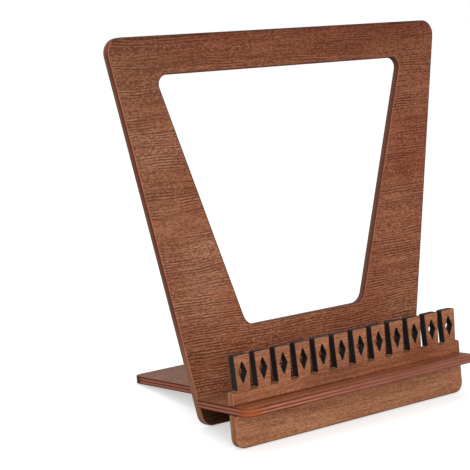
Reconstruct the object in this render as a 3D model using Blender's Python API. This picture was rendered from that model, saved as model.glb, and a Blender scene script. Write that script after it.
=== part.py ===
"""Vinyl record stand made of four flat boards that slot together without screws.

A back panel with a window stands on the narrow tongue of a T-shaped base board, which passes
through a slot near the panel's foot. A locking key behind the panel drops into two slots of
the tongue. A front plate crosses the base board's shelf in a half lap: its foot lifts the
shelf's front, and its rail and pierced crest keep a record sleeve from sliding off.

Each board is an outline in its own plane, given half its thickness to both sides. The boards
are placed square to each other on one empty, which leans the whole stand back until the
tongue's rear edge and the plate's foot touch the ground.

Local directions on the empty: X to the right, Y to the back, Z up from the base board's top,
with the origin in the middle of the panel's front face. Units are metres.
"""
import math

import bpy
from mathutils import Matrix, Vector

# Board and fits
BOARD = 0.006
CLEARANCE = 0.0003

# Back panel
PANEL_HEIGHT = 0.2625
PANEL_BASE_WIDTH = 0.2155
PANEL_TOP_WIDTH = 0.3136
PANEL_TOP_RADIUS = 0.011
PANEL_FOOT_RADIUS = 0.010
PANEL_CHEEK = 0.02375
PANEL_FOOT_LIFT = 0.0013
SILL_HEIGHT = 0.0454
TOP_RAIL = 0.028
SIDE_RAIL_AT_SILL = 0.0594
SIDE_RAIL_AT_HEAD = 0.0343
WINDOW_SILL_RADIUS = 0.011
WINDOW_HEAD_RADIUS = 0.007

# Base board
SHOULDER = 0.0264
RECORD_GAP = 0.0426
SHELF_LIP = 0.0164
TONGUE_BEHIND_PANEL = 0.120
SHELF_FRONT_RADIUS = 0.007
SHELF_REAR_RADIUS = 0.006
TONGUE_RADIUS = 0.008

# Front plate
PLATE_FOOT = 0.0308
RAIL_HEIGHT = 0.0100
PLATE_FOOT_RADIUS = 0.0075
RAIL_RADIUS = 0.002
LAP_SHARE = 0.5

# Crest on the front plate's rail
CREST_HEIGHT = 0.0256
CREST_LEFT_MARGIN = 0.0015
CREST_RIGHT_MARGIN = 0.0005
CREST_BLOCKS = 12
BLOCK_GAP_AT_TOP = 0.004
BLOCK_GAP_AT_FOOT = 0.0065
BLOCK_RADIUS = 0.0015
PIERCING_WIDTH = 0.0070
PIERCING_HEIGHT = 0.0160

# Locking key
KEY_HEIGHT = 0.038
KEY_MARGIN = 0.017
KEY_RADIUS = 0.002
TAB_INSET = 0.017
TAB_LENGTH = 0.020
TAB_RECESS = 0.0005

# Sides of each quarter turn of a rounded corner
CORNER_STEPS = 6

# Sizes that follow from the ones above
TONGUE_WIDTH = PANEL_BASE_WIDTH - 2 * PANEL_CHEEK
SHELF_WIDTH = TONGUE_WIDTH + 2 * SHOULDER
SHELF_DEPTH = RECORD_GAP + BOARD + SHELF_LIP
TONGUE_REACH = BOARD + TONGUE_BEHIND_PANEL
KEY_LENGTH = TONGUE_WIDTH - 2 * KEY_MARGIN
KEY_FRONT = BOARD + CLEARANCE
LAP_END = SHELF_WIDTH * LAP_SHARE - SHELF_WIDTH / 2

# The plate's back corner and the tongue's rear corner touch the ground, and set the lean
LEAN = math.atan2(PLATE_FOOT - BOARD, TONGUE_REACH + RECORD_GAP)

# The panel's foot ends just above the ground, so that the stand can't rock on it
PANEL_DROP = BOARD + TONGUE_BEHIND_PANEL * math.tan(LEAN) - PANEL_FOOT_LIFT


def material(name, colour, roughness, metallic=0.0):
    """Return a new plain material."""
    made = bpy.data.materials.new(name)
    made.use_nodes = True
    shader = made.node_tree.nodes["Principled BSDF"]
    shader.inputs["Base Color"].default_value = (*colour, 1.0)
    shader.inputs["Roughness"].default_value = roughness
    shader.inputs["Metallic"].default_value = metallic
    return made


def rounded_corner(before, corner, after, radius):
    """Return the points of one corner, rounded to the radius as far as its sides allow."""
    corner = Vector(corner)
    if radius == 0:
        return [corner]
    to_before = Vector(before) - corner
    to_after = Vector(after) - corner
    half_angle = to_before.angle(to_after) / 2
    longest = min(to_before.length, to_after.length) / 2
    setback = min(radius / math.tan(half_angle), longest)
    start = corner + to_before.normalized() * setback
    middle = (to_before.normalized() + to_after.normalized()).normalized()
    centre = corner + middle * setback / math.cos(half_angle)
    turn = math.pi - 2 * half_angle
    if to_before.cross(to_after) > 0:
        turn = -turn
    steps = max(2, round(CORNER_STEPS * abs(turn) / (math.pi / 2)))
    points = []
    for step in range(steps + 1):
        points.append(centre + Matrix.Rotation(turn * step / steps, 2) @ (start - centre))
    return points


def outline(corners):
    """Return a closed outline's points from its corners, each written as x, y and radius."""
    points = []
    for index, (x, y, radius) in enumerate(corners):
        before = corners[index - 1][:2]
        after = corners[(index + 1) % len(corners)][:2]
        points.extend(rounded_corner(before, (x, y), after, radius))
    return points


def rectangle(left, right, low, high):
    """Return the corners of a square-cornered rectangle."""
    return [(left, low, 0), (right, low, 0), (right, high, 0), (left, high, 0)]


def board(name, outlines, finish, parent, location, upright):
    """Make one flat board from its outer outline and the outlines of its openings."""
    curve = bpy.data.curves.new(name, "CURVE")
    curve.dimensions = "2D"
    curve.fill_mode = "BOTH"
    curve.extrude = BOARD / 2
    for corners in outlines:
        points = outline(corners)
        spline = curve.splines.new("POLY")
        spline.points.add(len(points) - 1)
        for place, point in zip(spline.points, points):
            place.co = (point.x, point.y, 0, 1)
        spline.use_cyclic_u = True
    curve.materials.append(finish)
    made = bpy.data.objects.new(name, curve)
    made.parent = parent
    made.location = location
    if upright:
        made.rotation_euler = (math.pi / 2, 0, 0)
    return made


def panel_half_width(height):
    """Return half the panel's width at a height above the base board's top."""
    flare = (PANEL_TOP_WIDTH - PANEL_BASE_WIDTH) / 2 / PANEL_HEIGHT
    return PANEL_BASE_WIDTH / 2 + flare * height


def back_panel(parent):
    """Make the tapered panel with its window and the closed slot for the tongue."""
    foot = panel_half_width(-PANEL_DROP)
    top = panel_half_width(PANEL_HEIGHT)
    frame = [
        (-foot, -PANEL_DROP, PANEL_FOOT_RADIUS),
        (foot, -PANEL_DROP, PANEL_FOOT_RADIUS),
        (top, PANEL_HEIGHT, PANEL_TOP_RADIUS),
        (-top, PANEL_HEIGHT, PANEL_TOP_RADIUS),
    ]
    head_height = PANEL_HEIGHT - TOP_RAIL
    sill = panel_half_width(SILL_HEIGHT) - SIDE_RAIL_AT_SILL
    head = panel_half_width(head_height) - SIDE_RAIL_AT_HEAD
    window = [
        (-sill, SILL_HEIGHT, WINDOW_SILL_RADIUS),
        (sill, SILL_HEIGHT, WINDOW_SILL_RADIUS),
        (head, head_height, WINDOW_HEAD_RADIUS),
        (-head, head_height, WINDOW_HEAD_RADIUS),
    ]
    slot_end = TONGUE_WIDTH / 2 + CLEARANCE
    slot = rectangle(-slot_end, slot_end, -BOARD - CLEARANCE, CLEARANCE)
    finish = material("panel veneer", (0.22, 0.085, 0.046), 0.55)
    return board("back_panel", [frame, window, slot], finish, parent, (0, BOARD / 2, 0), True)


def tab_spans():
    """Return the left and right end of each of the key's two tabs."""
    outer = KEY_LENGTH / 2 - TAB_INSET
    inner = outer - TAB_LENGTH
    return [(-outer, -inner), (inner, outer)]


def base_board(parent):
    """Make the shelf and tongue, with the half lap from the right and the key's slots."""
    side = SHELF_WIDTH / 2
    tongue = TONGUE_WIDTH / 2
    lap_front = -RECORD_GAP - BOARD - CLEARANCE
    lap_back = -RECORD_GAP + CLEARANCE
    lap_left = LAP_END - CLEARANCE
    shape = [
        (-side, -SHELF_DEPTH, SHELF_FRONT_RADIUS),
        (side, -SHELF_DEPTH, SHELF_FRONT_RADIUS),
        (side, lap_front, 0),
        (lap_left, lap_front, 0),
        (lap_left, lap_back, 0),
        (side, lap_back, 0),
        (side, -CLEARANCE, SHELF_REAR_RADIUS),
        (tongue, -CLEARANCE, 0),
        (tongue, TONGUE_REACH, TONGUE_RADIUS),
        (-tongue, TONGUE_REACH, TONGUE_RADIUS),
        (-tongue, -CLEARANCE, 0),
        (-side, -CLEARANCE, SHELF_REAR_RADIUS),
    ]
    outlines = [shape]
    for left, right in tab_spans():
        slot = rectangle(left - CLEARANCE, right + CLEARANCE,
                         KEY_FRONT - CLEARANCE, KEY_FRONT + BOARD + CLEARANCE)
        outlines.append(slot)
    finish = material("shelf veneer", (0.23, 0.075, 0.038), 0.5)
    return board("base_board", outlines, finish, parent, (0, 0, -BOARD / 2), False)


def crest_centres():
    """Return the middle of each block of the crest, from left to right."""
    left = -SHELF_WIDTH / 2 + CREST_LEFT_MARGIN
    pitch = (SHELF_WIDTH - CREST_LEFT_MARGIN - CREST_RIGHT_MARGIN) / CREST_BLOCKS
    return [left + pitch * (index + 1 / 2) for index in range(CREST_BLOCKS)], pitch


def front_plate(parent):
    """Make the plate with its foot, rail and crest, and the half lap from its left end."""
    side = SHELF_WIDTH / 2
    centres, pitch = crest_centres()
    half_foot = (pitch - BLOCK_GAP_AT_FOOT) / 2
    half_top = (pitch - BLOCK_GAP_AT_TOP) / 2
    crest_top = RAIL_HEIGHT + CREST_HEIGHT
    lap_right = LAP_END + CLEARANCE
    shape = [
        (-side, -BOARD - CLEARANCE, 0),
        (-side, -PLATE_FOOT, PLATE_FOOT_RADIUS),
        (side, -PLATE_FOOT, PLATE_FOOT_RADIUS),
        (side, RAIL_HEIGHT, RAIL_RADIUS),
    ]
    for centre in reversed(centres):
        shape.append((centre + half_foot, RAIL_HEIGHT, 0))
        shape.append((centre + half_top, crest_top, BLOCK_RADIUS))
        shape.append((centre - half_top, crest_top, BLOCK_RADIUS))
        shape.append((centre - half_foot, RAIL_HEIGHT, 0))
    shape.extend([
        (-side, RAIL_HEIGHT, RAIL_RADIUS),
        (-side, CLEARANCE, 0),
        (lap_right, CLEARANCE, 0),
        (lap_right, -BOARD - CLEARANCE, 0),
    ])
    outlines = [shape]
    middle = RAIL_HEIGHT + CREST_HEIGHT / 2
    for centre in centres:
        outlines.append([
            (centre, middle - PIERCING_HEIGHT / 2, 0),
            (centre + PIERCING_WIDTH / 2, middle, 0),
            (centre, middle + PIERCING_HEIGHT / 2, 0),
            (centre - PIERCING_WIDTH / 2, middle, 0),
        ])
    finish = material("plate veneer", (0.31, 0.125, 0.064), 0.5)
    location = (0, -RECORD_GAP - BOARD / 2, 0)
    return board("front_plate", outlines, finish, parent, location, True)


def locking_key(parent):
    """Make the key that stands behind the panel, with two tabs down into the tongue."""
    end = KEY_LENGTH / 2
    tab_low = -BOARD + TAB_RECESS
    shape = [(-end, CLEARANCE, 0)]
    for left, right in tab_spans():
        shape.extend([(left, CLEARANCE, 0), (left, tab_low, 0), (right, tab_low, 0),
                      (right, CLEARANCE, 0)])
    shape.extend([(end, CLEARANCE, 0), (end, KEY_HEIGHT, KEY_RADIUS),
                  (-end, KEY_HEIGHT, KEY_RADIUS)])
    finish = material("key veneer", (0.25, 0.085, 0.045), 0.55)
    return board("locking_key", [shape], finish, parent, (0, KEY_FRONT + BOARD / 2, 0), True)


def lean_back(empty):
    """Turn the empty by the lean, and set it so that the stand is centred on the ground."""
    sine = math.sin(LEAN)
    cosine = math.cos(LEAN)
    front = -SHELF_DEPTH * cosine - BOARD * sine
    back = max(TONGUE_REACH * cosine, BOARD * cosine + PANEL_HEIGHT * sine)
    lowest = -TONGUE_REACH * sine - BOARD * cosine
    empty.rotation_euler = (-LEAN, 0, 0)
    empty.location = (0, -(front + back) / 2, -lowest)


def main():
    """Build the stand in an emptied scene."""
    for old in list(bpy.data.objects):
        bpy.data.objects.remove(old, do_unlink=True)
    group = bpy.data.collections.new("Record stand")
    bpy.context.scene.collection.children.link(group)
    stand = bpy.data.objects.new("stand", None)
    lean_back(stand)
    group.objects.link(stand)
    for make in (base_board, back_panel, locking_key, front_plate):
        group.objects.link(make(stand))


main()
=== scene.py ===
"""Dressed model of a vinyl record stand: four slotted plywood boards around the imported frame.

Each board is one closed surface: an edge profile carried along the board's outlines, with the
two faces filled in between. The boards are laid out square to each other in the stand's own
directions, X to the right, Y to the back and Z up from the base board's top, and then leaned
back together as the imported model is. Sizes are in metres, and the patterns work in
millimetres of each board: x along the grain, y across it and z through the board.
"""
import logging
import math
from collections.abc import Callable
from dataclasses import dataclass
from enum import Enum, IntEnum

import bmesh
import bpy
import numpy as np
from mathutils import Matrix, Vector
from mathutils.geometry import tessellate_polygon


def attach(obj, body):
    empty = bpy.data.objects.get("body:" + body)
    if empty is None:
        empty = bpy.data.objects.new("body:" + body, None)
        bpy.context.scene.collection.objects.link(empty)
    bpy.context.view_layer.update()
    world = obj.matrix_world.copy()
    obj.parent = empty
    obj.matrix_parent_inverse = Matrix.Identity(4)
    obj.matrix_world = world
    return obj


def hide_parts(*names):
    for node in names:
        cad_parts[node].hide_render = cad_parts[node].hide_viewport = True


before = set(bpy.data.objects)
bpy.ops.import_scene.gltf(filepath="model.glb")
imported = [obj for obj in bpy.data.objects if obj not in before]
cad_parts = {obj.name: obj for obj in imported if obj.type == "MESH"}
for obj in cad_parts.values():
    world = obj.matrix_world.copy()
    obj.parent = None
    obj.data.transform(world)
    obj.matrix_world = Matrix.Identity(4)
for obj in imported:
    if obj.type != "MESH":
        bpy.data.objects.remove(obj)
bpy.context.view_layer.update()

LOG = logging.getLogger("record_stand")

Triple = tuple[float, float, float]
Colour = Triple
Corner = Triple
Span = tuple[float, float]
Chart = tuple[Vector, Vector]
Stops = tuple[tuple[float, float | Colour], ...]
Socket = bpy.types.NodeSocket
Value = Socket | Vector | float | tuple

MILLIMETRES = 1000.0
ORIGIN = (0.0, 0.0, 0.0)
ONES = (1.0, 1.0, 1.0)

# Sizes that several boards share

THICKNESS = 0.006
CLEARANCE = 0.0003
SHARP = 0.0004
WIDTH = 0.2208
LAP_SHARE = 0.5
TONGUE_WIDTH = 0.168
TONGUE_BEHIND_PANEL = 0.120
RECORD_GAP = 0.0426
SHELF_LIP = 0.0164
PLATE_FOOT = 0.0308
PANEL_HEIGHT = 0.2625
KEY_FRONT = THICKNESS + CLEARANCE
TAB_INNER = 0.030
TAB_OUTER = 0.050
TABS = ((-TAB_OUTER, -TAB_INNER), (TAB_INNER, TAB_OUTER))

# Shapes


class Lie(Enum):
    """How a board lies in the stand before it is leaned back."""

    FLAT = "flat"
    UPRIGHT = "upright"


class Zone(IntEnum):
    """Which finish a part of a board's surface takes."""

    FACE = 0
    EDGE = 1
    DARK = 2
    # Painted highlight along the arrises of edges that face left.
    PALE = 3


@dataclass(frozen=True)
class Stance:
    """The lean of the whole stand, and the place of its own origin on the ground's frame."""

    lean: float
    back: float
    up: float

    def settle(self, points: np.ndarray) -> np.ndarray:
        """Turn points by the lean about X, then move them to the stand's place.

        Args:
            points: Places in the stand's own directions, one row each.

        Returns:
            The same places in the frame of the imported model.
        """
        sine, cosine = math.sin(self.lean), math.cos(self.lean)
        x, y, z = points.T
        return np.stack([x, y * cosine + z * sine + self.back,
                         z * cosine - y * sine + self.up], axis=1)

    def chart(self, lie: Lie, front: float) -> Chart:
        """Work out the turn and shift that bring Object coordinates to a board's millimetres.

        Args:
            lie: How the board lies. An upright board turns a further quarter about X, and a
                flat one a further half. So z runs into the board from its front or top, and
                y down an upright board and to the front of a flat one.
            front: Distance of the board's first face from the origin, along z after the turn.

        Returns:
            The location and the rotation of a Mapping node that scales by a thousand.
        """
        turn = self.lean + (math.pi / 2 if lie is Lie.UPRIGHT else math.pi)
        origin = Vector((0.0, self.back, self.up)) * MILLIMETRES
        shift = -(Matrix.Rotation(turn, 3, "X") @ origin)
        shift.z -= front * MILLIMETRES
        return shift, Vector((turn, 0.0, 0.0))


@dataclass(frozen=True)
class Outline:
    """A closed outline with the unit vector into the board at each of its points."""

    points: np.ndarray
    inward: np.ndarray


def unit(vectors: np.ndarray) -> np.ndarray:
    """Return the vectors divided by their lengths, row by row."""
    return vectors / np.linalg.norm(vectors, axis=-1, keepdims=True)


def rounded_outline(corners: list[Corner], steps: int, hole: bool) -> Outline:
    """Round every corner of a closed outline to its own radius.

    With a and b the unit vectors from a corner to its neighbours and h half the angle between
    them, the arc starts at the corner plus a times s, where s is the radius over the tangent
    of h, cut to half the shorter side. Its centre is the corner plus the bisector times s over
    the cosine of h. Point k is the centre plus the first spoke turned by k parts of the turn.

    Args:
        corners: The corners, each as x, y and radius.
        steps: Parts that each arc is divided into.
        hole: Whether the outline bounds an opening, which runs clockwise.

    Returns:
        The points of all arcs in order, with the board always to their left.
    """
    table = np.array(corners, dtype=float)
    x, y = table[:, 0], table[:, 1]
    area = np.sum(x * np.roll(y, -1) - np.roll(x, -1) * y)
    if (area < 0) != hole:
        table = table[::-1]
    place, radius = table[:, :2], table[:, 2]
    to_before = np.roll(place, 1, axis=0) - place
    to_after = np.roll(place, -1, axis=0) - place
    before, after = unit(to_before), unit(to_after)
    half = np.arccos(np.clip(np.sum(before * after, axis=1), -1, 1)) / 2
    shorter = np.minimum(np.linalg.norm(to_before, axis=1), np.linalg.norm(to_after, axis=1))
    setback = np.minimum(radius / np.tan(half), shorter / 2)
    centre = place + unit(before + after) * (setback / np.cos(half))[:, None]
    spoke = place + before * setback[:, None] - centre
    left = -np.sign(before[:, 0] * after[:, 1] - before[:, 1] * after[:, 0])
    angle = (left * (math.pi - 2 * half))[:, None] * np.linspace(0, 1, steps + 1)
    sine, cosine = np.sin(angle), np.cos(angle)
    turned = np.stack([spoke[:, None, 0] * cosine - spoke[:, None, 1] * sine,
                       spoke[:, None, 0] * sine + spoke[:, None, 1] * cosine], axis=2)
    points = (centre[:, None, :] + turned).reshape(-1, 2)
    inward = unit(-turned * left[:, None, None]).reshape(-1, 2)
    return Outline(points, inward)


@dataclass(frozen=True)
class EdgeProfile:
    """The section of a board's edge: softened arrises and shallow grooves at the glue lines."""

    rim: float
    arris: float = 0.00035
    arris_steps: int = 3
    glue_line_shares: tuple[float, ...] = (0.36, 0.64)
    groove_half: float = 0.00018
    groove_depth: float = 0.00006

    def rows(self) -> np.ndarray:
        """Work out the profile from the first face to the second.

        The first row lies on the first face, inside a strip that shows scorch with painted shade
        along some edges and a painted highlight along others. An arris is a quarter turn: inset is
        its radius times one less the sine of the angle, and depth its radius times one less the
        cosine. A groove is a V of three rows.

        Returns:
            Inset and depth, one row for each line of the profile.
        """
        turn = np.linspace(0, math.pi / 2, self.arris_steps + 1)
        first = np.stack([self.arris * (1 - np.sin(turn)), self.arris * (1 - np.cos(turn))], 1)
        line = np.array(self.glue_line_shares)[:, None] * THICKNESS
        depth = (line + np.array([-1, 0, 1]) * self.groove_half).reshape(-1)
        inset = np.tile([0.0, self.groove_depth, 0.0], len(self.glue_line_shares))
        last = first[::-1] * [1, -1] + [0, THICKNESS]
        return np.concatenate([[[self.rim, 0.0]], first, np.stack([inset, depth], 1), last])


@dataclass(frozen=True)
class ZoneRule:
    """Where a board's edge is dark, shows scorch with painted shade, or a painted highlight."""

    dark_above: float
    sideways: float = 0.6
    upright: float = 0.8

    def zones(self, outline: Outline, strips: int, outermost: bool) -> np.ndarray:
        """Choose the zone of each face of an outline's edge.

        Above a height the edge is dark. As the outline is drawn, the strip on the first face
        shows scorch with painted shade where the vector into the board points to the left, up or,
        on the outer outline, down. It shows a painted highlight where that vector points to the
        right, which is along the edges that face left.

        Args:
            outline: The outline.
            strips: Strips of the edge, of which the first lies on the first face.
            outermost: Whether the outline is the board's outer one.

        Returns:
            The zones, stretch by stretch along the outline.
        """
        dark = (outline.points + np.roll(outline.points, -1, axis=0))[:, 1] / 2 > self.dark_above
        side, up = unit(outline.inward + np.roll(outline.inward, -1, axis=0)).T
        # Scorch with painted shade on the strip beside edges that face right or down, and up on
        # the outer outline.
        scorch_and_shade = (side < -self.sideways) | (up > self.upright)
        scorch_and_shade |= (up < -self.upright) & outermost
        # Painted highlight on the strip beside edges that face left.
        strip = np.where(side > self.sideways, Zone.PALE, Zone.FACE)
        zones = np.repeat(np.where(dark, Zone.DARK, Zone.EDGE)[:, None], strips, axis=1)
        zones[:, 0] = np.where(scorch_and_shade, Zone.EDGE, strip)
        zones[dark, 0] = Zone.FACE
        return zones.reshape(-1)


def sheet_mesh(name: str, outlines: list[Outline], profile: EdgeProfile, rule: ZoneRule,
               lift: Callable[[np.ndarray, np.ndarray, np.ndarray], np.ndarray],
               slots: list[Zone]) -> bpy.types.Mesh:
    """Make one board's closed mesh.

    Row j of an outline's edge is the outline moved into the board by the profile's inset j, at
    depth j. The outermost rows bound the two faces, which are filled as flat triangles.

    Args:
        name: Name of the mesh.
        outlines: The outer outline first, then those of the openings.
        profile: Section of the edge.
        rule: Where the edge takes which zone.
        lift: Turns arrays of outline x, outline y and depth into places in the stand.
        slots: The zones in the order of the board's materials. Any other zone takes the first.

    Returns:
        The mesh, with the slot of its material on each face.
    """
    rows = profile.rows()
    count = len(rows)
    places, faces, zones, loops = [], [], [], []
    start = 0
    for outline in outlines:
        around = len(outline.points)
        flat = outline.points[:, None, :] + outline.inward[:, None, :] * rows[None, :, :1]
        depth = np.broadcast_to(rows[:, 1], (around, count))
        places.append(np.concatenate([flat, depth[:, :, None]], axis=2).reshape(-1, 3))
        here = start + np.arange(around)[:, None] * count + np.arange(count - 1)
        there = np.roll(here, -1, axis=0)
        quads = np.stack([here, there, there + 1, here + 1], axis=2).reshape(-1, 4)
        faces.extend(quads.tolist())
        zones.append(rule.zones(outline, count - 1, start == 0))
        loops.append(here[:, 0])
        start += around * count
    flat_places = np.concatenate(places)
    for row, step in ((0, 1), (count - 1, -1)):
        rings = [[Vector((x, y, 0)) for x, y, _ in flat_places[loop + row]] for loop in loops]
        fill = np.concatenate(loops)[np.array(tessellate_polygon(rings))] + row
        faces.extend(fill[:, ::step].tolist())
        zones.append(np.full(len(fill), Zone.FACE))
    mesh = bpy.data.meshes.new(name)
    mesh.from_pydata(lift(*flat_places.T).tolist(), [], faces)
    zone = np.concatenate(zones)
    slot = np.array([slots.index(each) if each in slots else 0 for each in Zone], np.int32)
    mesh.polygons.foreach_set("material_index", slot[zone])
    mesh.polygons.foreach_set("use_smooth", zone != Zone.FACE)
    whole = bmesh.new()
    whole.from_mesh(mesh)
    bmesh.ops.recalc_face_normals(whole, faces=whole.faces[:])
    whole.to_mesh(mesh)
    whole.free()
    return mesh


# Nodes


@dataclass(frozen=True)
class Noise:
    """A noise: how it is stretched and shifted by axis, its octaves and how far it is bent."""

    scale: Triple
    offset: Triple = ORIGIN
    detail: float = 2.0
    roughness: float = 0.5
    warp: float = 0.0


class Bench:
    """Lays out the nodes of one tree."""

    def __init__(self, tree: bpy.types.NodeTree) -> None:
        """Keep the tree to work on."""
        self.tree = tree

    def feed(self, socket: Socket, value: Value) -> None:
        """Link a socket to another, or give it a plain value.

        Args:
            socket: The socket.
            value: What it takes.
        """
        if isinstance(value, Socket):
            self.tree.links.new(value, socket)
        else:
            socket.default_value = value

    def node(self, kind: str, *values: Value, **settings: object) -> bpy.types.Node:
        """Add one node.

        Args:
            kind: Its type's name.
            values: Its first inputs in order.
            settings: Its own properties.

        Returns:
            The node.
        """
        made = self.tree.nodes.new(kind)
        for name, value in settings.items():
            setattr(made, name, value)
        for socket, value in zip(made.inputs, values):
            self.feed(socket, value)
        return made

    def maths(self, operation: str, *values: Value) -> Socket:
        """Add one Math node with its inputs in order, and return its result."""
        return self.node("ShaderNodeMath", *values, operation=operation).outputs[0]

    def weigh(self, start: float, *parts: tuple[Socket, float]) -> Socket:
        """Add up values, each times its weight.

        Args:
            start: What the sum starts from.
            parts: The values and their weights.

        Returns:
            The sum.
        """
        total = start
        for value, weight in parts:
            total = self.maths("MULTIPLY_ADD", value, weight, total)
        return total

    def ease(self, value: Socket, low: float, high: float,
             at_low: float = 0.0, at_high: float = 1.0) -> Socket:
        """Go smoothly from one result at low and below to another at high and above."""
        return self.node("ShaderNodeMapRange", value, low, high, at_low, at_high,
                         interpolation_type="SMOOTHSTEP").outputs[0]

    def stretch(self, vector: Socket, scale: Triple, offset: Triple) -> Socket:
        """Scale a vector by axis, shift it and return it."""
        return self.node("ShaderNodeMapping", vector, offset, ORIGIN, scale).outputs[0]

    def split(self, vector: Socket) -> tuple[Socket, ...]:
        """Return the x, y and z of a vector."""
        return tuple(self.node("ShaderNodeSeparateXYZ", vector).outputs)

    def noise(self, vector: Socket, noise: Noise) -> Socket:
        """Add a noise.

        Args:
            vector: Where it is read.
            noise: What it is like.

        Returns:
            Its value, from 0 to 1 around one half.
        """
        made = self.node("ShaderNodeTexNoise", self.stretch(vector, noise.scale, noise.offset))
        for name, value in (("Scale", 1.0), ("Detail", noise.detail),
                            ("Roughness", noise.roughness), ("Distortion", noise.warp)):
            self.feed(made.inputs[name], value)
        return made.outputs["Fac"]

    def ramp(self, value: Socket, stops: Stops) -> Socket:
        """Turn a value into a colour through a ramp.

        Args:
            value: The value, from 0 to 1.
            stops: Places and colours, where a number stands for a grey.

        Returns:
            The colour.
        """
        made = self.node("ShaderNodeValToRGB", value)
        elements = made.color_ramp.elements
        while len(elements) < len(stops):
            elements.new(1.0)
        for element, (place, colour) in zip(elements, stops):
            element.position = place
            element.color = (*(colour if isinstance(colour, tuple) else (colour,) * 3), 1.0)
        return made.outputs[0]

    def blend(self, amount: Value, base: Value, over: Value, mode: str = "MIX") -> Socket:
        """Lay one colour over another.

        Args:
            amount: How much of it, from 0 to 1.
            base: The colour below.
            over: The colour above.
            mode: How they are blended.

        Returns:
            The colour.
        """
        made = self.node("ShaderNodeMix", amount, data_type="RGBA", blend_type=mode)
        # The node's colour sockets come after those for numbers and vectors.
        for socket, value in ((made.inputs[6], base), (made.inputs[7], over)):
            self.feed(socket, (*value, 1.0) if isinstance(value, tuple) else value)
        return made.outputs[2]


class GroupBench(Bench):
    """Lays out the nodes of one shared node group that reads a vector."""

    def __init__(self, name: str, numbers: dict[str, float], outputs: tuple[str, ...]) -> None:
        """Start the group.

        Args:
            name: Its name.
            numbers: Its further inputs and their defaults.
            outputs: Names of its values.
        """
        super().__init__(bpy.data.node_groups.new(name, "ShaderNodeTree"))
        sides = self.tree.interface
        sides.new_socket("Vector", in_out="INPUT", socket_type="NodeSocketVector")
        for label, start in numbers.items():
            socket = sides.new_socket(label, in_out="INPUT", socket_type="NodeSocketFloat")
            socket.default_value = start
        for label in outputs:
            sides.new_socket(label, in_out="OUTPUT", socket_type="NodeSocketFloat")
        self.given = self.node("NodeGroupInput").outputs
        self.here = self.given["Vector"]
        self.results = self.node("NodeGroupOutput").inputs


@dataclass(frozen=True)
class VeneerGrain:
    """The grain that every veneer shows.

    Tone is the slow change from band to band, Streak the fine lines along the grain, Ripple
    the wavy dark lines some 2 mm apart that come and go, Pore the short dark dashes, and Fleck
    the short light ones and the light between the ripples. Ripple Cover is how much of the
    board the ripple takes.
    """

    tone: Noise = Noise((0.006, 0.085, 0.05), detail=4.0, roughness=0.55, warp=0.4)
    streak: Noise = Noise((0.032, 0.50, 0.4), (7.0, 3.0, 0.0), roughness=0.6, warp=0.2)
    wander: Noise = Noise((0.014, 0.030, 0.1), (3.0, 9.0, 1.0))
    wander_reach: float = 9.0
    ripple_span: Span = (0.0, 0.9)
    between_span: Span = (-0.9, 0.0)
    between_height: float = 0.75
    broken: Noise = Noise((0.045, 0.36, 0.2), (1.0, 5.0, 2.0), roughness=0.6)
    broken_span: Span = (0.36, 0.54)
    patch: Noise = Noise((0.013, 0.060, 0.05), (5.0, 2.0, 4.0))
    patch_span: Span = (0.48, 0.66)
    pore: Noise = Noise((0.32, 0.84, 0.6), (2.0, 8.0, 3.0), detail=1.0)
    pore_span: Span = (0.50, 0.60)
    fleck: Noise = Noise((0.42, 0.86, 0.6), (9.0, 1.0, 6.0), detail=1.0)
    fleck_span: Span = (0.51, 0.61)
    gather: Noise = Noise((0.015, 0.07, 0.1), (4.0, 4.0, 4.0))
    gather_span: Span = (0.35, 0.65)
    gather_least: float = 0.45

    def group(self) -> bpy.types.NodeTree:
        """Build the node group.

        Returns:
            The group, whose values only vary over the surface.
        """
        bench = GroupBench("Veneer grain", {"Ripple Spacing": 2.2, "Ripple Cover": 0.1},
                           ("Tone", "Streak", "Ripple", "Pore", "Fleck"))
        here = bench.here
        _, y, _ = bench.split(here)
        bent = bench.weigh(-self.wander_reach / 2,
                           (bench.noise(here, self.wander), self.wander_reach), (y, 1.0))
        turns = bench.maths("DIVIDE", bent, bench.given["Ripple Spacing"])
        wave = bench.maths("SINE", bench.maths("MULTIPLY", turns, math.tau))
        covered = bench.maths("ADD", bench.noise(here, self.patch), bench.given["Ripple Cover"])
        where = bench.maths("MULTIPLY", bench.ease(covered, *self.patch_span),
                            bench.ease(bench.noise(here, self.broken), *self.broken_span))
        dashes = bench.maths(
            "MULTIPLY", bench.ease(bench.noise(here, self.fleck), *self.fleck_span),
            bench.ease(bench.noise(here, self.gather), *self.gather_span, self.gather_least))
        between = bench.maths(
            "MULTIPLY", bench.ease(wave, *self.between_span, self.between_height, 0.0), where)
        values = (bench.noise(here, self.tone), bench.noise(here, self.streak),
                  bench.maths("MULTIPLY", bench.ease(wave, *self.ripple_span), where),
                  bench.ease(bench.noise(here, self.pore), *self.pore_span),
                  bench.maths("MAXIMUM", dashes, between))
        for socket, value in zip(bench.results, values):
            bench.feed(socket, value)
        return bench.tree


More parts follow.
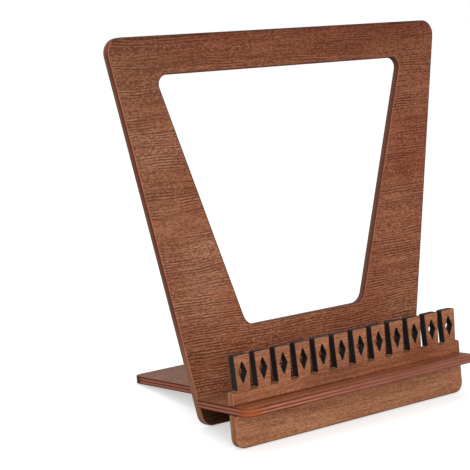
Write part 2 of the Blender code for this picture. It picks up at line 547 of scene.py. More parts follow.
@dataclass(frozen=True)
class EdgeScorch:
    """The soot and saw marks of a cut edge.

    Soot comes in soft patches, Mark is the fine ribs that the cutting leaves across the edge,
    from face to face, and Fibre the layers' own lines along it.
    """

    soot: Noise = Noise((0.05, 0.05, 0.25), (3.0, 1.0, 5.0), detail=3.0, roughness=0.6)
    soot_span: Span = (0.35, 0.70)
    mark: Noise = Noise((1.6, 1.6, 0.05), ONES, roughness=0.6)
    fibre: Noise = Noise((0.12, 0.12, 1.6), (8.0, 2.0, 7.0), detail=3.0, roughness=0.6)

    def group(self) -> bpy.types.NodeTree:
        """Build the node group.

        Returns:
            The group, whose values only vary over the surface.
        """
        bench = GroupBench("Edge scorch", {}, ("Soot", "Mark", "Fibre"))
        soot = bench.ease(bench.noise(bench.here, self.soot), *self.soot_span)
        values = (soot, bench.noise(bench.here, self.mark), bench.noise(bench.here, self.fibre))
        for socket, value in zip(bench.results, values):
            bench.feed(socket, value)
        return bench.tree


@dataclass(frozen=True)
class Effects:
    """The node groups that all materials share."""

    grain: bpy.types.NodeTree
    scorch: bpy.types.NodeTree


class Canvas(Bench):
    """The nodes of one material, which reads a board's own millimetres."""

    def __init__(self, tree: bpy.types.NodeTree, chart: Chart, effects: Effects) -> None:
        """Lay out the coordinates.

        Args:
            tree: The material's nodes.
            chart: Location and rotation that give the board's own millimetres.
            effects: The shared node groups.
        """
        super().__init__(tree)
        self.effects = effects
        given = self.node("ShaderNodeTexCoord").outputs
        self.normal = given["Normal"]
        self.here = self.node("ShaderNodeMapping", given["Object"], *chart,
                              (MILLIMETRES,) * 3).outputs[0]


# Finishes


@dataclass(frozen=True)
class Patch:
    """A soft patch of another colour: its middle, half sizes, colour or tint and strength."""

    x: float
    y: float
    along: float
    across: float
    colour: Colour
    strength: float = 1.0

    def near(self, canvas: Canvas, drift: Value, span: Span) -> Socket:
        """Work out how strongly the patch shows.

        The distance from its middle is counted in half sizes, axis by axis, and the drift is
        added. Over the span it takes the patch smoothly from its full strength to nothing.

        Args:
            canvas: The material's nodes.
            drift: What makes its outline uneven.
            span: Distances where it starts to fade and is gone.

        Returns:
            The strength.
        """
        here = canvas.stretch(canvas.here, (1 / self.along, 1 / self.across, 0.0),
                              (-self.x / self.along, -self.y / self.across, 0.0))
        gap = canvas.node("ShaderNodeVectorMath", here, operation="LENGTH").outputs["Value"]
        return canvas.ease(canvas.maths("ADD", gap, drift), *span, self.strength, 0.0)


@dataclass(frozen=True, kw_only=True)
class Finish:
    """What one zone of a board looks like."""

    name: str
    zone: Zone = Zone.EDGE
    shine: float = 0.10
    roughness: float = 0.52
    bump: float = 0.2
    bump_depth: float = 0.0001

    def pattern(self, canvas: Canvas) -> tuple[Socket, Socket, Socket]:
        """Return the colour, the roughness and the height of the relief."""
        raise NotImplementedError

    def material(self, chart: Chart, effects: Effects) -> bpy.types.Material:
        """Make the material.

        Args:
            chart: Location and rotation that give the board's own millimetres.
            effects: The shared node groups.

        Returns:
            The material.
        """
        made = bpy.data.materials.new(self.name)
        made.use_nodes = True
        shader = made.node_tree.nodes["Principled BSDF"]
        shader.inputs["Specular IOR Level"].default_value = self.shine
        canvas = Canvas(made.node_tree, chart, effects)
        colour, rough, relief = self.pattern(canvas)
        bump = canvas.node("ShaderNodeBump")
        for node, name, value in (
                (bump, "Strength", self.bump), (bump, "Distance", self.bump_depth),
                (bump, "Height", relief), (shader, "Normal", bump.outputs[0]),
                (shader, "Base Color", colour), (shader, "Roughness", rough)):
            canvas.feed(node.inputs[name], value)
        return made


@dataclass(frozen=True, kw_only=True)
class FaceVeneer(Finish):
    """Oiled red-brown veneer on a board's two faces."""

    zone: Zone = Zone.FACE
    shine: float = 0.14
    roughness: float = 0.44
    streak_roughness: float = 0.16
    pore_roughness: float = 0.10
    bump: float = 0.25
    bump_depth: float = 0.0002
    fleck_height: float = 0.4
    pore_depth: float = 0.6
    ripple_depth: float = 0.8
    deep: Colour
    ground: Colour
    pale: Colour
    dark_line: Colour
    fleck: Colour
    colour_places: Triple = (0.40, 0.50, 0.60)
    tone_weight: float = 0.45
    flecks: float = 0.35
    pores: float = 0.35
    ripples: float = 0.6
    ripple_spacing: float = 2.2
    cover_near: float = 0.10
    cover_far: float = 0.10
    cover_span: Span = (0.12, 0.45)
    seed: Triple
    # Painted light and shade across the board, multiplied onto its colour.
    shade: Stops = ((0.0, 1.0), (1.0, 1.0))
    shade_span: Span = (0.0, 1.0)
    # Painted light that lightens the board towards its left, where the light comes from.
    left_light: Colour = ONES
    left_light_span: Span = (-150.0, -60.0)
    patches: tuple[Patch, ...] = ()
    patch_drift: float = 1.4
    patch_span: Span = (0.35, 1.15)

    def pattern(self, canvas: Canvas) -> tuple[Socket, Socket, Socket]:
        """Lay out the grain, shaded across the board, lightened to its left by painted light and
        tinted in patches.

        Args:
            canvas: The material's nodes.

        Returns:
            The colour, the roughness and the height of the relief.
        """
        x, y, _ = canvas.split(canvas.here)
        across = canvas.node("ShaderNodeMapRange", y, *self.shade_span).outputs[0]
        cover = canvas.ease(across, *self.cover_span, self.cover_near, self.cover_far)
        figure = canvas.node(
            "ShaderNodeGroup", canvas.stretch(canvas.here, ONES, self.seed),
            self.ripple_spacing, cover, node_tree=canvas.effects.grain)
        tone, streak, ripple, pore, fleck = figure.outputs
        mixed = canvas.weigh(0.0, (tone, self.tone_weight), (streak, 1 - self.tone_weight))
        colours = (self.deep, self.ground, self.pale)
        colour = canvas.ramp(mixed, tuple(zip(self.colour_places, colours)))
        for mark, amount, over in ((fleck, self.flecks, self.fleck),
                                   (pore, self.pores, self.dark_line),
                                   (ripple, self.ripples, self.dark_line)):
            colour = canvas.blend(canvas.maths("MULTIPLY", mark, amount), colour, over)
        colour = canvas.blend(1.0, colour, canvas.ramp(across, self.shade), "MULTIPLY")
        # Painted light towards the left.
        left = canvas.ease(x, *self.left_light_span, 1.0, 0.0)
        colour = canvas.blend(left, colour, self.left_light, "MULTIPLY")
        drift = canvas.weigh(-self.patch_drift / 2, (tone, self.patch_drift))
        for patch in self.patches:
            near = patch.near(canvas, drift, self.patch_span)
            colour = canvas.blend(near, colour, patch.colour, "MULTIPLY")
        rough = canvas.weigh(self.roughness, (streak, self.streak_roughness),
                             (pore, self.pore_roughness))
        relief = canvas.weigh(0.0, (fleck, self.fleck_height), (pore, -self.pore_depth),
                              (ripple, -self.ripple_depth))
        return colour, rough, relief


@dataclass(frozen=True, kw_only=True)
class PlyEdge(Finish):
    """Cut edge of a plywood board, with its layers from the first face to the second."""

    mark_roughness: float = 0.2
    layers: Stops
    sway: float = 0.5
    fade_colour: Colour = ONES
    fade_amount: float = 0.0
    fade_span: Span = (-1.0, 1.0)
    # Painted light on the edges that face the front.
    front_light: Colour = ONES
    front_light_span: Span = (-0.95, -0.55)
    fibre_greys: Stops = ((0.25, 0.78), (0.75, 1.18))
    soot: Colour
    soot_amount: float = 0.35
    # Colour of the scorch and painted shade on edges that face right or up.
    burnt: Colour = (0.075, 0.042, 0.032)
    scorch_shade_amount: float = 0.0
    scorch_shade_inner_share: float = 0.45
    scorch_shade_depth_span: Span = (0.10, 0.35)
    shade_up_weight: float = 0.6
    shade_side_span: Span = (-0.3, 0.1)
    patches: tuple[Patch, ...] = ()
    patch_span: Span = (1 / 3, 1.0)

    def pattern(self, canvas: Canvas) -> tuple[Socket, Socket, Socket]:
        """Lay out the layers, faded along the board, with painted light where they face the front,
        sooty, and with scorch and painted shade.

        Edges that face right or up take scorch and painted shade, most of it beside the first
        face.

        Args:
            canvas: The material's nodes.

        Returns:
            The colour, the roughness and the height of the relief.
        """
        soot, mark, fibre = canvas.node("ShaderNodeGroup", canvas.here,
                                        node_tree=canvas.effects.scorch).outputs
        x, _, z = canvas.split(canvas.here)
        to_right, to_back, upward = canvas.split(canvas.normal)
        swayed = canvas.weigh(-self.sway / 2, (fibre, self.sway), (z, 1.0))
        depth = canvas.node("ShaderNodeMath", swayed, THICKNESS * MILLIMETRES,
                            operation="DIVIDE", use_clamp=True).outputs[0]
        fade = canvas.ease(x, *self.fade_span, 0.0, self.fade_amount)
        colour = canvas.blend(fade, canvas.ramp(depth, self.layers), self.fade_colour)
        # Painted light: edges that face the front are lightened.
        front = canvas.maths("MULTIPLY", canvas.ease(to_back, *self.front_light_span, 1.0, 0.0),
                             canvas.weigh(1.0, (fade, -1.0)))
        colour = canvas.blend(front, colour, self.front_light, "MULTIPLY")
        colour = canvas.blend(1.0, colour, canvas.ramp(fibre, self.fibre_greys), "MULTIPLY")
        colour = canvas.blend(canvas.maths("MULTIPLY", soot, self.soot_amount), colour, self.soot)
        # Scorch and painted shade on edges that face right or up.
        side = canvas.weigh(0.0, (to_right, 1.0), (upward, self.shade_up_weight))
        char = canvas.ease(depth, *self.scorch_shade_depth_span, self.scorch_shade_amount,
                           self.scorch_shade_inner_share * self.scorch_shade_amount)
        char_and_shade = canvas.maths("MULTIPLY", canvas.ease(side, *self.shade_side_span), char)
        colour = canvas.blend(char_and_shade, colour, self.burnt)
        for patch in self.patches:
            near = patch.near(canvas, 0.0, self.patch_span)
            colour = canvas.blend(near, colour, patch.colour)
        rough = canvas.weigh(self.roughness, (mark, self.mark_roughness))
        return colour, rough, canvas.maths("ADD", mark, fibre)


@dataclass(frozen=True, kw_only=True)
class CharredEdge(Finish):
    """Nearly black edge where the narrow shapes were burnt out of the board."""

    zone: Zone = Zone.DARK
    shine: float = 0.20
    roughness: float = 0.60
    fibre_roughness: float = 0.2
    bump: float = 0.15
    char: Colour
    ash: Colour
    ash_span: Span = (0.35, 0.75)
    soot_cover: float = 0.7

    def pattern(self, canvas: Canvas) -> tuple[Socket, Socket, Socket]:
        """Lay out char with ash on the ribs that the soot leaves bare.

        Args:
            canvas: The material's nodes.

        Returns:
            The colour, the roughness and the height of the relief.
        """
        soot, mark, fibre = canvas.node("ShaderNodeGroup", canvas.here,
                                        node_tree=canvas.effects.scorch).outputs
        light = canvas.maths("MULTIPLY", canvas.ease(mark, *self.ash_span),
                             canvas.weigh(1.0, (soot, -self.soot_cover)))
        rough = canvas.weigh(self.roughness, (fibre, self.fibre_roughness))
        return canvas.blend(light, self.char, self.ash), rough, mark


PANEL_FINISHES = (
    FaceVeneer(
        name="Panel face veneer", deep=(0.215, 0.064, 0.030), ground=(0.290, 0.095, 0.045),
        pale=(0.365, 0.138, 0.070), dark_line=(0.085, 0.021, 0.009),
        fleck=(0.540, 0.260, 0.150), flecks=0.52, pores=0.46, ripples=0.80,
        ripple_spacing=2.05, cover_near=0.36, cover_far=0.045, seed=(11.0, 4.0, 2.0),
        # Painted sheen that makes the panel greyer towards its left.
        left_light=(1.0, 1.16, 1.22), shade_span=(20.0, -262.0),
        # Painted shadow on the foot below the shelf; darker towards the top.
        shade=((0.0, 0.27), (0.05, 0.30), (0.07, 1.08), (0.16, (1.15, 1.10, 1.08)),
               (0.35, (1.12, 1.06, 1.04)), (0.75, (1.02, 0.95, 0.93)),
               (0.90, (0.93, 0.88, 0.85)), (0.95, (0.84, 0.78, 0.74)),
               (0.984, (0.78, 0.64, 0.62)), (1.0, (0.64, 0.51, 0.49))),
        patches=(Patch(-121.0, -182.0, 32.0, 16.0, (1.15, 1.27, 1.42)),
                 Patch(-88.0, -92.0, 26.0, 50.0, (1.14, 1.30, 1.44)),
                 Patch(122.0, -160.0, 34.0, 27.0, (0.86, 0.74, 0.72)),
                 Patch(108.0, -120.0, 26.0, 14.0, (1.06, 1.17, 1.20)),
                 Patch(82.0, -252.0, 80.0, 22.0, (0.87, 0.80, 0.75)),
                 Patch(50.0, -41.0, 36.0, 20.0, (0.92, 0.86, 0.82)),
                 Patch(102.0, -42.0, 28.0, 17.0, (1.06, 1.18, 1.14)),
                 Patch(-110.0, -18.0, 11.0, 50.0, (0.86, 0.82, 0.76)))),
    PlyEdge(
        name="Panel ply edge", soot=(0.100, 0.048, 0.034), soot_amount=0.40,
        layers=((0.0, (0.190, 0.046, 0.019)), (0.22, (0.175, 0.040, 0.017)),
                (0.38, (0.230, 0.064, 0.032)), (0.58, (0.240, 0.100, 0.064)),
                (0.85, (0.210, 0.105, 0.076)), (1.0, (0.150, 0.078, 0.060))),
        # Scorch and painted shade on the panel's edges that face right or up.
        scorch_shade_amount=0.85, fade_span=(-60.0, 50.0), fade_colour=(0.080, 0.036, 0.024),
        fade_amount=0.38, patches=(Patch(-109.0, 10.0, 80.0, 80.0, (0.36, 0.165, 0.095), 0.80),)),
    # Painted highlight on the panel's arrises that face left.
    PlyEdge(
        name="Panel painted arris highlight", zone=Zone.PALE, soot=(0.30, 0.115, 0.065),
        layers=((0.0, (0.58, 0.250, 0.145)), (1.0, (0.58, 0.250, 0.145)))))

SHELF_FINISHES = (
    FaceVeneer(
        name="Shelf face veneer", deep=(0.190, 0.068, 0.034), ground=(0.270, 0.096, 0.048),
        pale=(0.360, 0.140, 0.072), dark_line=(0.095, 0.030, 0.014), fleck=(0.48, 0.23, 0.13),
        pores=0.40, ripples=0.40, seed=(31.0, 17.0, 5.0),
        # Painted light that lightens the shelf towards its left.
        left_light=(1.20, 1.22, 1.22), left_light_span=(-70.0, 90.0), shade_span=(-126.0, 65.0),
        # Painted shadow along the plate's foot and a painted highlight along the front edge;
        # darker towards the back.
        shade=((0.0, 0.60), (0.25, 0.72), (0.60, 0.82), (0.80, 0.90), (0.895, 0.90),
               (0.905, (1.05, 0.68, 0.42)), (0.916, (1.05, 0.68, 0.42)),
               (0.922, (1.06, 0.88, 0.76)), (0.941, (0.81, 0.71, 0.66)),
               (0.964, (0.72, 0.64, 0.59)), (0.985, (1.20, 1.10, 1.04)),
               (1.0, (1.00, 0.88, 0.80)))),
    PlyEdge(
        name="Shelf ply edge", soot=(0.12, 0.035, 0.018), soot_amount=0.25,
        layers=((0.0, (0.100, 0.018, 0.007)), (0.12, (0.105, 0.019, 0.007)),
                (0.24, (0.44, 0.158, 0.095)), (0.40, (0.44, 0.158, 0.095)),
                (0.47, (0.130, 0.030, 0.012)), (0.56, (0.130, 0.030, 0.012)),
                (0.64, (0.44, 0.160, 0.098)), (0.80, (0.42, 0.150, 0.090)),
                (0.90, (0.110, 0.026, 0.012)), (1.0, (0.080, 0.020, 0.010))),
        fade_span=(-112.0, 60.0), fade_colour=(0.330, 0.115, 0.080), fade_amount=0.7,
        # Painted light on the shelf's edges that face the front.
        front_light=(1.32, 1.34, 1.38),
        patches=(Patch(-105.0, 61.0, 12.0, 12.0, (0.40, 0.078, 0.014), 0.62),
                 Patch(-83.0, -125.0, 15.0, 15.0, (0.035, 0.014, 0.010), 0.80))))

PLATE_FINISHES = (
    FaceVeneer(
        name="Plate face veneer", deep=(0.330, 0.120, 0.057), ground=(0.430, 0.166, 0.082),
        pale=(0.520, 0.225, 0.118), dark_line=(0.190, 0.060, 0.026), fleck=(0.64, 0.34, 0.20),
        flecks=0.40, pores=0.42, ripples=0.35, ripple_spacing=1.7, seed=(53.0, 29.0, 8.0),
        shade_span=(31.0, -36.0),
        # Painted light that lifts the foot under the shelf against its shadow, and a painted
        # shadow where the plate meets the shelf top.
        shade=((0.0, (1.00, 0.92, 0.78)), (0.08, (1.08, 1.12, 1.08)),
               (0.25, (1.18, 1.20, 1.20)), (0.40, 1.45), (0.455, (0.56, 0.32, 0.19)),
               (0.470, (0.58, 0.36, 0.24)), (0.480, (0.84, 0.74, 0.68)),
               (0.60, (0.78, 0.68, 0.62)), (0.68, (0.86, 0.80, 0.76)),
               (1.0, (1.02, 0.99, 0.95))),
        patches=(Patch(-68.0, -8.0, 44.0, 10.0, (1.18, 1.28, 1.32)),
                 Patch(-20.0, -8.0, 27.0, 9.0, (0.86, 0.87, 0.96)),
                 Patch(69.0, -9.0, 24.0, 10.0, (0.84, 0.76, 0.72)))),
    PlyEdge(
        # Scorch and painted shade on the plate's edges that face right or up.
        name="Plate ply edge", soot=(0.16, 0.08, 0.045), soot_amount=0.25, scorch_shade_amount=0.66,
        layers=((0.0, (0.400, 0.140, 0.056)), (0.20, (0.345, 0.118, 0.045)),
                (0.50, (0.370, 0.145, 0.062)), (0.70, (0.380, 0.210, 0.120)),
                (0.88, (0.340, 0.200, 0.120)), (1.0, (0.170, 0.090, 0.055)))),
    CharredEdge(name="Crest burnt edge", char=(0.0095, 0.0080, 0.0078),
                ash=(0.032, 0.029, 0.028)),
    # Painted highlight on the plate's arrises that face left.
    PlyEdge(
        name="Plate painted arris highlight", zone=Zone.PALE, soot=(0.38, 0.150, 0.080),
        layers=((0.0, (0.60, 0.280, 0.165)), (1.0, (0.60, 0.280, 0.165)))))

KEY_FINISHES = (
    FaceVeneer(
        name="Key face veneer", deep=(0.165, 0.055, 0.029), ground=(0.235, 0.088, 0.048),
        pale=(0.320, 0.135, 0.076), dark_line=(0.095, 0.030, 0.015), fleck=(0.42, 0.21, 0.125),
        ripples=0.45, seed=(71.0, 41.0, 3.0)),
    PlyEdge(
        name="Key ply edge", soot=(0.08, 0.035, 0.022),
        layers=((0.0, (0.33, 0.140, 0.080)), (0.18, (0.28, 0.105, 0.056)),
                (0.30, (0.120, 0.036, 0.018)), (0.50, (0.230, 0.090, 0.052)),
                (0.68, (0.120, 0.036, 0.018)), (0.82, (0.26, 0.100, 0.055)),
                (1.0, (0.30, 0.125, 0.070)))))

# Boards


def slot_corners(left: float, right: float, low: float, high: float) -> list[Corner]:
    """Return the corners of a slot with sharp corners."""
    return [(left, low, SHARP), (right, low, SHARP), (right, high, SHARP), (left, high, SHARP)]


@dataclass
class Board:
    """One flat board of the stand."""

    node: str = ""
    body: str = "stand"
    slot: str = ""
    lie: Lie = Lie.UPRIGHT
    front: float = 0.0
    corner_steps: int = 10
    rim: float = 0.0005
    finishes: tuple[Finish, ...] = ()

    def outer(self) -> list[Corner]:
        """Return the corners of the board's outline."""
        raise NotImplementedError

    def openings(self) -> list[list[Corner]]:
        """Return the corners of each opening."""
        return []

    def dark_above(self) -> float:
        """Return the height above which the edge is dark, which no plain board reaches."""
        return math.inf

    def lift(self, x: np.ndarray, y: np.ndarray, depth: np.ndarray) -> np.ndarray:
        """Place points of the flat board in the stand's own directions.

        An upright board has its outline in X and Z and its depth towards Y. A flat one has its
        outline in X and Y and its depth downwards.

        Args:
            x: First coordinate of the outline.
            y: Second coordinate of the outline.
            depth: Depth from the first face.

        Returns:
            One row of X, Y and Z for each point.
        """
        if self.lie is Lie.UPRIGHT:
            return np.stack([x, self.front + depth, y], axis=1)
        return np.stack([x, y, self.front - depth], axis=1)

    def build(self, stance: Stance, effects: Effects) -> bpy.types.Object:
        """Make the board, dress it and put it in the place of its CAD node.

        Args:
            stance: How the stand leans and where it stands.
            effects: The shared node groups.

        Returns:
            The finished piece.
        """
        outlines = [rounded_outline(self.outer(), self.corner_steps, hole=False)]
        outlines += [rounded_outline(opening, self.corner_steps, hole=True)
                     for opening in self.openings()]
        mesh = sheet_mesh(
            f"{self.node}_sheet", outlines, EdgeProfile(self.rim), ZoneRule(self.dark_above()),
            lambda x, y, depth: stance.settle(self.lift(x, y, depth)),
            [finish.zone for finish in self.finishes])
        chart = stance.chart(self.lie, self.front)
        for finish in self.finishes:
            mesh.materials.append(finish.material(chart, effects))
        piece = bpy.data.objects.new(f"{self.node}_dressed", mesh)
        bpy.context.scene.collection.objects.link(piece)
        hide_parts(self.node)
        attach(piece, self.body)
        return piece


@dataclass
class BackPanel(Board):
    """The tapered panel with its window and the closed slot for the tongue."""

    node: str = "back_panel"
    slot: str = "panel_veneer"
    finishes: tuple[Finish, ...] = PANEL_FINISHES
    rim: float = 0.0008
    drop: float = 0.0
    base_width: float = 0.2155
    top_width: float = 0.3136
    top_radius: float = 0.011
    foot_radius: float = 0.010
    sill_height: float = 0.0454
    top_rail: float = 0.028
    side_rail_at_sill: float = 0.0594
    side_rail_at_head: float = 0.0343
    sill_radius: float = 0.011
    head_radius: float = 0.007

    def half_width(self, height: float) -> float:
        """Return half the panel's width at a height above the base board's top."""
        flare = (self.top_width - self.base_width) / 2 / PANEL_HEIGHT
        return self.base_width / 2 + flare * height

    def outer(self) -> list[Corner]:
        """Lay out the tapered frame.

        Returns:
            The corners of its outline.
        """
        foot, top = self.half_width(-self.drop), self.half_width(PANEL_HEIGHT)
        return [(-foot, -self.drop, self.foot_radius), (foot, -self.drop, self.foot_radius),
                (top, PANEL_HEIGHT, self.top_radius), (-top, PANEL_HEIGHT, self.top_radius)]

    def openings(self) -> list[list[Corner]]:
        """Lay out the window and the tongue's slot.

        Returns:
            The corners of both.
        """
        head_height = PANEL_HEIGHT - self.top_rail
        sill = self.half_width(self.sill_height) - self.side_rail_at_sill
        head = self.half_width(head_height) - self.side_rail_at_head
        window = [(-sill, self.sill_height, self.sill_radius),
                  (sill, self.sill_height, self.sill_radius),
                  (head, head_height, self.head_radius), (-head, head_height, self.head_radius)]
        end = TONGUE_WIDTH / 2 + CLEARANCE
        return [window, slot_corners(-end, end, -THICKNESS - CLEARANCE, CLEARANCE)]


@dataclass
class BaseBoard(Board):
    """The shelf with its tongue, half lap and the slots for the key's tabs."""

    node: str = "base_board"
    slot: str = "shelf_veneer"
    finishes: tuple[Finish, ...] = SHELF_FINISHES
    lie: Lie = Lie.FLAT
    shelf_front_radius: float = 0.007
    shelf_rear_radius: float = 0.006
    tongue_radius: float = 0.008

    def outer(self) -> list[Corner]:
        """Lay out shelf and tongue, with the half lap open to the right.

        Returns:
            The corners of the outline.
        """
        side, tongue, reach = WIDTH / 2, TONGUE_WIDTH / 2, THICKNESS + TONGUE_BEHIND_PANEL
        depth = RECORD_GAP + THICKNESS + SHELF_LIP
        lap_front = -RECORD_GAP - THICKNESS - CLEARANCE
        lap_back = -RECORD_GAP + CLEARANCE
        lap_left = WIDTH * (LAP_SHARE - 0.5) - CLEARANCE
        return [(-side, -depth, self.shelf_front_radius), (side, -depth, self.shelf_front_radius),
                (side, lap_front, SHARP), (lap_left, lap_front, SHARP),
                (lap_left, lap_back, SHARP), (side, lap_back, SHARP),
                (side, -CLEARANCE, self.shelf_rear_radius), (tongue, -CLEARANCE, SHARP),
                (tongue, reach, self.tongue_radius), (-tongue, reach, self.tongue_radius),
                (-tongue, -CLEARANCE, SHARP), (-side, -CLEARANCE, self.shelf_rear_radius)]

    def openings(self) -> list[list[Corner]]:
        """Lay out the slots for the key's tabs.

        Returns:
            The corners of each.
        """
        low = KEY_FRONT - CLEARANCE
        high = KEY_FRONT + THICKNESS + CLEARANCE
        return [slot_corners(left - CLEARANCE, right + CLEARANCE, low, high)
                for left, right in TABS]


@dataclass
class FrontPlate(Board):
    """The plate with its foot, half lap, low rail and pierced crest."""

    node: str = "front_plate"
    body: str = "plate"
    slot: str = "plate_veneer"
    finishes: tuple[Finish, ...] = PLATE_FINISHES
    front: float = -RECORD_GAP - THICKNESS
    corner_steps: int = 6
    rim: float = 0.0008
    foot_radius: float = 0.0075
    rail_height: float = 0.0100
    rail_radius: float = 0.002
    crest_height: float = 0.0256
    crest_left_margin: float = 0.0015
    crest_right_margin: float = 0.0005
    crest_blocks: int = 12
    block_gap_at_top: float = 0.004
    block_gap_at_foot: float = 0.0065
    block_radius: float = 0.0015
    piercing_width: float = 0.0070
    piercing_height: float = 0.0160

    def pitch(self) -> float:
        """Return the distance from one block of the crest to the next."""
        return (WIDTH - self.crest_left_margin - self.crest_right_margin) / self.crest_blocks

    def block_centres(self) -> np.ndarray:
        """Return the middle of each block of the crest, from left to right."""
        left = -WIDTH / 2 + self.crest_left_margin
        return left + self.pitch() * (np.arange(self.crest_blocks) + 0.5)

    def outer(self) -> list[Corner]:
        """Lay out foot, rail and crest, with the half lap open to the left.

        Returns:
            The corners of the outline.
        """
        side, top = WIDTH / 2, self.rail_height + self.crest_height
        half_foot = (self.pitch() - self.block_gap_at_foot) / 2
        half_top = (self.pitch() - self.block_gap_at_top) / 2
        lap_right, lap_low = WIDTH * (LAP_SHARE - 0.5) + CLEARANCE, -THICKNESS - CLEARANCE
        shape = [(-side, lap_low, SHARP), (-side, -PLATE_FOOT, self.foot_radius),
                 (side, -PLATE_FOOT, self.foot_radius), (side, self.rail_height, self.rail_radius)]
        for centre in self.block_centres()[::-1]:
            shape += [(centre + half_foot, self.rail_height, SHARP),
                      (centre + half_top, top, self.block_radius),
                      (centre - half_top, top, self.block_radius),
                      (centre - half_foot, self.rail_height, SHARP)]
        shape += [(-side, self.rail_height, self.rail_radius), (-side, CLEARANCE, SHARP),
                  (lap_right, CLEARANCE, SHARP), (lap_right, lap_low, SHARP)]
        return shape

    def openings(self) -> list[list[Corner]]:
        """Lay out the diamond in each block.

        Returns:
            The corners of each.
        """
        middle = self.rail_height + self.crest_height / 2
        wide, tall = self.piercing_width / 2, self.piercing_height / 2
        return [[(centre, middle - tall, SHARP), (centre + wide, middle, SHARP),
                 (centre, middle + tall, SHARP), (centre - wide, middle, SHARP)]
                for centre in self.block_centres()]

    def dark_above(self) -> float:
        """Return the height just above the rail's top, where the crest's burnt edge starts."""
        return self.rail_height + SHARP


@dataclass
class LockingKey(Board):
    """The key behind the panel, with two tabs down into the tongue."""

    node: str = "locking_key"
    body: str = "key"
    slot: str = "key_veneer"
    finishes: tuple[Finish, ...] = KEY_FINISHES
    front: float = KEY_FRONT
    length: float = 0.134
    height: float = 0.038
    radius: float = 0.002
    tab_recess: float = 0.0005

    def outer(self) -> list[Corner]:
        """Lay out the upright strip with its tabs.

        Returns:
            The corners of the outline.
        """
        end, low = self.length / 2, -THICKNESS + self.tab_recess
        shape = [(-end, CLEARANCE, SHARP)]
        for left, right in TABS:
            shape += [(left, CLEARANCE, SHARP), (left, low, SHARP), (right, low, SHARP),
                      (right, CLEARANCE, SHARP)]
        shape += [(end, CLEARANCE, SHARP), (end, self.height, self.radius),
                  (-end, self.height, self.radius)]
        return shape


@dataclass
class RecordStand:
    """The whole stand: its four boards and the stance that they share."""

    panel_foot_lift: float = 0.0013

    def stance(self) -> Stance:
        """Work out the lean and the place of the stand.

        The lean's tangent is the plate's foot below the base board over its distance from the
        tongue's rear edge. The stand is centred front to back and touches the ground.

        Returns:
            The stance.
        """
        reach = THICKNESS + TONGUE_BEHIND_PANEL
        lean = math.atan2(PLATE_FOOT - THICKNESS, reach + RECORD_GAP)
        sine, cosine = math.sin(lean), math.cos(lean)
        front = -(RECORD_GAP + THICKNESS + SHELF_LIP) * cosine - THICKNESS * sine
        rear = max(reach * cosine, THICKNESS * cosine + PANEL_HEIGHT * sine)
        return Stance(lean, -(front + rear) / 2, reach * sine + THICKNESS * cosine)

    def build(self) -> list[bpy.types.Object]:
        """Make the four boards in order.

        Below the base board's top, the panel's foot drops by the board's thickness and the
        tongue's length times the lean's tangent, which is the ground, less its lift.

        Returns:
            The finished pieces.
        """
        stance = self.stance()
        effects = Effects(VeneerGrain().group(), EdgeScorch().group())
        drop = (THICKNESS + TONGUE_BEHIND_PANEL * math.tan(stance.lean)
                - self.panel_foot_lift)
        boards = (BaseBoard(), BackPanel(drop=drop), LockingKey(), FrontPlate())
        return [board.build(stance, effects) for board in boards]


# Studio


@dataclass(frozen=True)
class Softbox:
    """One square softbox: its place, what it points at, the length of its side and its watts."""

    name: str
    place: Triple
    aim: Triple
    size: float
    power: float

    def hang(self) -> None:
        """Hang it in the scene."""
        lamp = bpy.data.lights.new(self.name, "AREA")
        lamp.shape = "SQUARE"
        lamp.size = self.size
        lamp.energy = self.power
        hung = bpy.data.objects.new(self.name, lamp)
        towards = (Vector(self.aim) - Vector(self.place)).to_track_quat("-Z", "Y")
        hung.matrix_world = Matrix.Translation(self.place) @ towards.to_matrix().to_4x4()
        bpy.context.scene.collection.objects.link(hung)


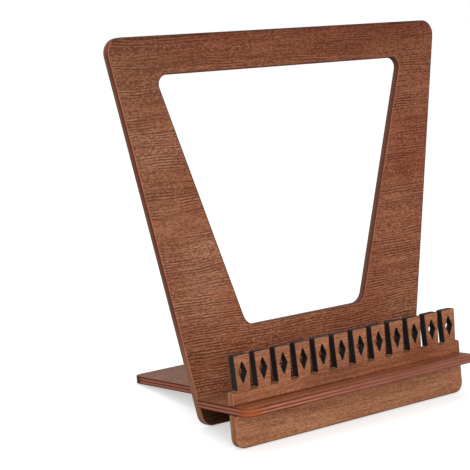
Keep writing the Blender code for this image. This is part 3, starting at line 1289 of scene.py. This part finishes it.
@dataclass
class Studio:
    """The camera, the soft lights and the pale floor."""

    picture_side: float = 470.0
    focal_pixels: float = 1451.2
    sensor: float = 36.0
    sight_end: float = 50.0
    eye: Triple = (-0.68071, -0.85450, 0.36004)
    sight: Triple = (0.58015, 0.78723, -0.20902)
    right: Triple = (0.80448, -0.59397, -0.00416)
    softboxes: tuple[Softbox, ...] = (
        Softbox("Key softbox", (-1.3, -1.7, 1.0), (0.0, 0.0, 0.1), 1.5, 24.0),
        Softbox("Top softbox", (-0.3, 0.3, 1.9), (0.0, 0.0, 0.1), 1.2, 6.0))
    world_strength: float = 0.58
    floor_half: float = 6.0
    floor_shine: float = 0.1
    floor_roughness: float = 0.9
    floor_seen: Colour = (0.42, 0.42, 0.42)
    floor_lit: Colour = (0.80, 0.80, 0.80)
    floor_glow: float = 0.515

    def camera(self) -> None:
        """Set the camera where the photograph was taken from."""
        lens = bpy.data.cameras.new("Camera")
        lens.sensor_width = self.sensor
        lens.sensor_fit = "HORIZONTAL"
        lens.lens = self.sensor * self.focal_pixels / self.picture_side
        lens.clip_end = self.sight_end
        ahead = Vector(self.sight).normalized()
        across = Vector(self.right)
        across = (across - ahead * across.dot(ahead)).normalized()
        turn = Matrix((across, across.cross(ahead), -ahead)).transposed().to_4x4()
        camera = bpy.data.objects.new("Camera", lens)
        camera.matrix_world = Matrix.Translation(self.eye) @ turn
        bpy.context.scene.collection.objects.link(camera)
        bpy.context.scene.camera = camera

    def world(self) -> None:
        """Light the stand evenly from all round, and show white behind it."""
        world = bpy.data.worlds.new("Studio")
        world.use_nodes = True
        bpy.context.scene.world = world
        bench = Bench(world.node_tree)
        paths = bench.node("ShaderNodeLightPath").outputs
        seen = bench.maths("MAXIMUM", paths["Is Camera Ray"], bench.maths(
            "MAXIMUM", paths["Is Glossy Ray"], paths["Is Transmission Ray"]))
        ground = world.node_tree.nodes["Background"]
        ground.inputs["Color"].default_value = (*ONES, 1.0)
        bench.feed(ground.inputs["Strength"],
                   bench.weigh(self.world_strength, (seen, 1 - self.world_strength)))

    def floor(self) -> None:
        """Lay the pale floor, which shows white with the stand's soft shadow."""
        half = self.floor_half
        mesh = bpy.data.meshes.new("floor_sheet")
        mesh.from_pydata([(-half, -half, 0), (half, -half, 0), (half, half, 0),
                          (-half, half, 0)], [], [(0, 1, 2, 3)])
        paint = bpy.data.materials.new("Floor paint")
        paint.use_nodes = True
        bench = Bench(paint.node_tree)
        seen = bench.node("ShaderNodeLightPath").outputs["Is Camera Ray"]
        shader = paint.node_tree.nodes["Principled BSDF"]
        for name, value in (
                ("Roughness", self.floor_roughness), ("Specular IOR Level", self.floor_shine),
                ("Base Color", bench.blend(seen, self.floor_seen, self.floor_lit)),
                ("Emission Color", (*ONES, 1.0)),
                ("Emission Strength", bench.maths("MULTIPLY", seen, self.floor_glow))):
            bench.feed(shader.inputs[name], value)
        mesh.materials.append(paint)
        sheet = bpy.data.objects.new("floor", mesh)
        bpy.context.scene.collection.objects.link(sheet)

    def build(self) -> None:
        """Set up camera, lights, world and floor."""
        self.camera()
        for softbox in self.softboxes:
            softbox.hang()
        self.world()
        self.floor()


def main() -> None:
    """Build the stand and its studio, and report each piece."""
    logging.basicConfig(level=logging.INFO, format="%(name)s: %(message)s")
    bpy.context.scene.view_settings.view_transform = "Standard"
    Studio().build()
    for piece in RecordStand().build():
        LOG.info("%s: %d faces", piece.name, len(piece.data.polygons))


if __name__ == "__main__":
    main()
